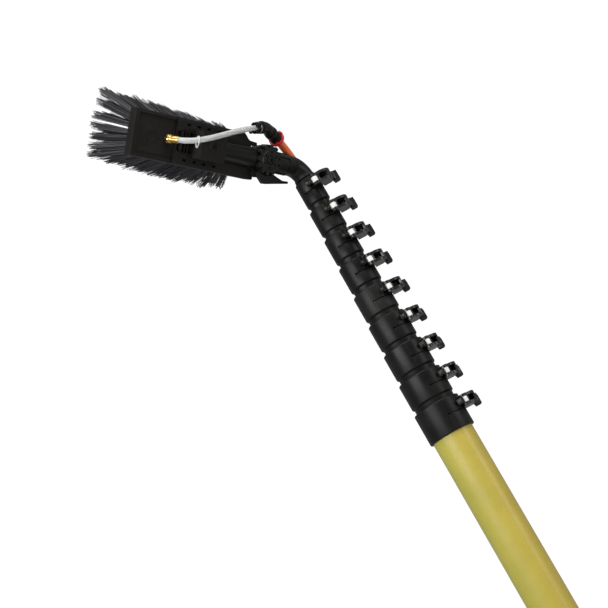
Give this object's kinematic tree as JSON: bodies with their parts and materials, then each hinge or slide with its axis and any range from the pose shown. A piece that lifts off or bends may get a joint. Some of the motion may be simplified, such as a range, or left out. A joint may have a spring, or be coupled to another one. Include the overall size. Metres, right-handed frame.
{
  "type": "telescopic window cleaning pole",
  "caption": "Telescopic water-fed cleaning pole: nested tubes held by cam-lever collars, with a gooseneck, tilting brush head and exposed feed hose.",
  "frame": {"origin": "centre of the butt cap's lower face, on the pole's axis", "axes": "+Z along the pole from the butt to the brush; +X towards the free end of the brush; bristles face -Y and up"},
  "size_m": [0.3669, 0.1357, 2.095],
  "materials": {
    "collar_black": "satin moulded black, fine grain",
    "lever_black": "semi-gloss moulded black",
    "carbon_tube": "carbon fibre under clear resin",
    "aramid_tube": "yellow aramid weave under clear resin",
    "steel": "bright zinc-plated steel",
    "barrel_grey": "light grey moulded barrel",
    "head_black": "satin moulded black",
    "block_black": "matt near-black moulding",
    "bristle": "dark grey filaments",
    "butt_rubber": "matt black rubber",
    "orange_hose": "glossy orange polyurethane hose",
    "crimson_clip": "crimson moulded clip",
    "brass": "machined brass",
    "clear_hose": "clear flexible hose",
    "clear_loop": "clear nylon loop"
  },
  "bodies": {
    "base": {"tube_10": "aramid_tube", "butt_cap": "butt_rubber", "collar_9": "collar_black", "t_bolt_9": "barrel_grey", "adjuster_9": "steel"},
    "section_9": {"tube_09": "carbon_tube", "collar_8": "collar_black", "t_bolt_8": "barrel_grey", "adjuster_8": "steel"},
    "section_8": {"tube_08": "carbon_tube", "collar_7": "collar_black", "t_bolt_7": "barrel_grey", "adjuster_7": "steel"},
    "section_7": {"tube_07": "carbon_tube", "collar_6": "collar_black", "t_bolt_6": "barrel_grey", "adjuster_6": "steel"},
    "section_6": {"tube_06": "carbon_tube", "collar_5": "collar_black", "t_bolt_5": "barrel_grey", "adjuster_5": "steel"},
    "section_5": {"tube_05": "carbon_tube", "collar_4": "collar_black", "t_bolt_4": "barrel_grey", "adjuster_4": "steel"},
    "section_4": {"tube_04": "carbon_tube", "collar_3": "collar_black", "t_bolt_3": "barrel_grey", "adjuster_3": "steel"},
    "section_3": {"tube_03": "carbon_tube", "collar_2": "collar_black", "t_bolt_2": "barrel_grey", "adjuster_2": "steel"},
    "section_2": {"tube_02": "carbon_tube", "collar_1": "collar_black", "t_bolt_1": "barrel_grey", "adjuster_1": "steel"},
    "tip": {"tube_01": "carbon_tube", "gooseneck": "head_black", "riser_hose": "orange_hose", "hose_clip": "crimson_clip", "elbow_fitting": "head_black"},
    "brush_head": {"brush_socket": "head_black", "knuckle_bolt": "steel", "brush_block": "block_black", "bristles": "bristle", "jet_fitting": "brass", "feed_hose": "clear_hose", "hose_loop": "clear_loop"},
    "knob": {"knuckle_knob": "head_black"},
    "latch": {"knuckle_latch": "head_black"},
    "cam_1": {"lever_1": "lever_black"},
    "cam_2": {"lever_2": "lever_black"},
    "cam_3": {"lever_3": "lever_black"},
    "cam_4": {"lever_4": "lever_black"},
    "cam_5": {"lever_5": "lever_black"},
    "cam_6": {"lever_6": "lever_black"},
    "cam_7": {"lever_7": "lever_black"},
    "cam_8": {"lever_8": "lever_black"},
    "cam_9": {"lever_9": "lever_black"}
  },
  "joints": [
    {"name": "slide_9", "type": "slide", "parent": "base", "child": "section_9", "axis": [0, 0, 1], "range_m": [0, 1.2]},
    {"name": "slide_8", "type": "slide", "parent": "section_9", "child": "section_8", "axis": [0, 0, 1], "range_m": [0, 1.2]},
    {"name": "slide_7", "type": "slide", "parent": "section_8", "child": "section_7", "axis": [0, 0, 1], "range_m": [0, 1.2]},
    {"name": "slide_6", "type": "slide", "parent": "section_7", "child": "section_6", "axis": [0, 0, 1], "range_m": [0, 1.2]},
    {"name": "slide_5", "type": "slide", "parent": "section_6", "child": "section_5", "axis": [0, 0, 1], "range_m": [0, 1.2]},
    {"name": "slide_4", "type": "slide", "parent": "section_5", "child": "section_4", "axis": [0, 0, 1], "range_m": [0, 1.2]},
    {"name": "slide_3", "type": "slide", "parent": "section_4", "child": "section_3", "axis": [0, 0, 1], "range_m": [0, 1.2]},
    {"name": "slide_2", "type": "slide", "parent": "section_3", "child": "section_2", "axis": [0, 0, 1], "range_m": [0, 1.2]},
    {"name": "slide_1", "type": "slide", "parent": "section_2", "child": "tip", "axis": [0, 0, 1], "range_m": [0, 1.2]},
    {"name": "lever_1_open", "type": "hinge", "parent": "section_2", "child": "cam_1", "pos_m": [0.01198, 0.02263, 1.8988], "axis": [0, 0, -1], "range_deg": [0, 100]},
    {"name": "lever_2_open", "type": "hinge", "parent": "section_3", "child": "cam_2", "pos_m": [0.00913, 0.02599, 1.8504], "axis": [0, 0, -1], "range_deg": [0, 100]},
    {"name": "lever_3_open", "type": "hinge", "parent": "section_4", "child": "cam_3", "pos_m": [0.00745, 0.02854, 1.802], "axis": [0, 0, -1], "range_deg": [0, 100]},
    {"name": "lever_4_open", "type": "hinge", "parent": "section_5", "child": "cam_4", "pos_m": [0.00533, 0.031, 1.7536], "axis": [0, 0, -1], "range_deg": [0, 100]},
    {"name": "lever_5_open", "type": "hinge", "parent": "section_6", "child": "cam_5", "pos_m": [0.00218, 0.03336, 1.7052], "axis": [0, 0, -1], "range_deg": [0, 100]},
    {"name": "lever_6_open", "type": "hinge", "parent": "section_7", "child": "cam_6", "pos_m": [-0.00394, 0.03519, 1.6568], "axis": [0, 0, -1], "range_deg": [0, 100]},
    {"name": "lever_7_open", "type": "hinge", "parent": "section_8", "child": "cam_7", "pos_m": [-0.00689, 0.03676, 1.6084], "axis": [0, 0, -1], "range_deg": [0, 100]},
    {"name": "lever_8_open", "type": "hinge", "parent": "section_9", "child": "cam_8", "pos_m": [-0.0088, 0.0384, 1.56], "axis": [0, 0, -1], "range_deg": [0, 100]},
    {"name": "lever_9_open", "type": "hinge", "parent": "base", "child": "cam_9", "pos_m": [-0.01021, 0.04012, 1.5116], "axis": [0, 0, -1], "range_deg": [0, 100]},
    {"name": "brush_tilt", "type": "hinge", "parent": "tip", "child": "brush_head", "pos_m": [0.07261, 0, 1.9531], "axis": [0.155, 0.7859, -0.5987], "range_deg": [-15, 12], "deforming": ["feed_hose"]},
    {"name": "knob_turn", "type": "hinge", "parent": "brush_head", "child": "knob", "pos_m": [0.07261, 0, 1.9531], "axis": [-0.155, -0.7859, 0.5987], "range_deg": [0, 180]},
    {"name": "latch_release", "type": "hinge", "parent": "brush_head", "child": "latch", "pos_m": [0.09036, -0.01348, 1.94], "axis": [-0.155, -0.7859, 0.5987], "range_deg": [0, 50]}
  ]
}
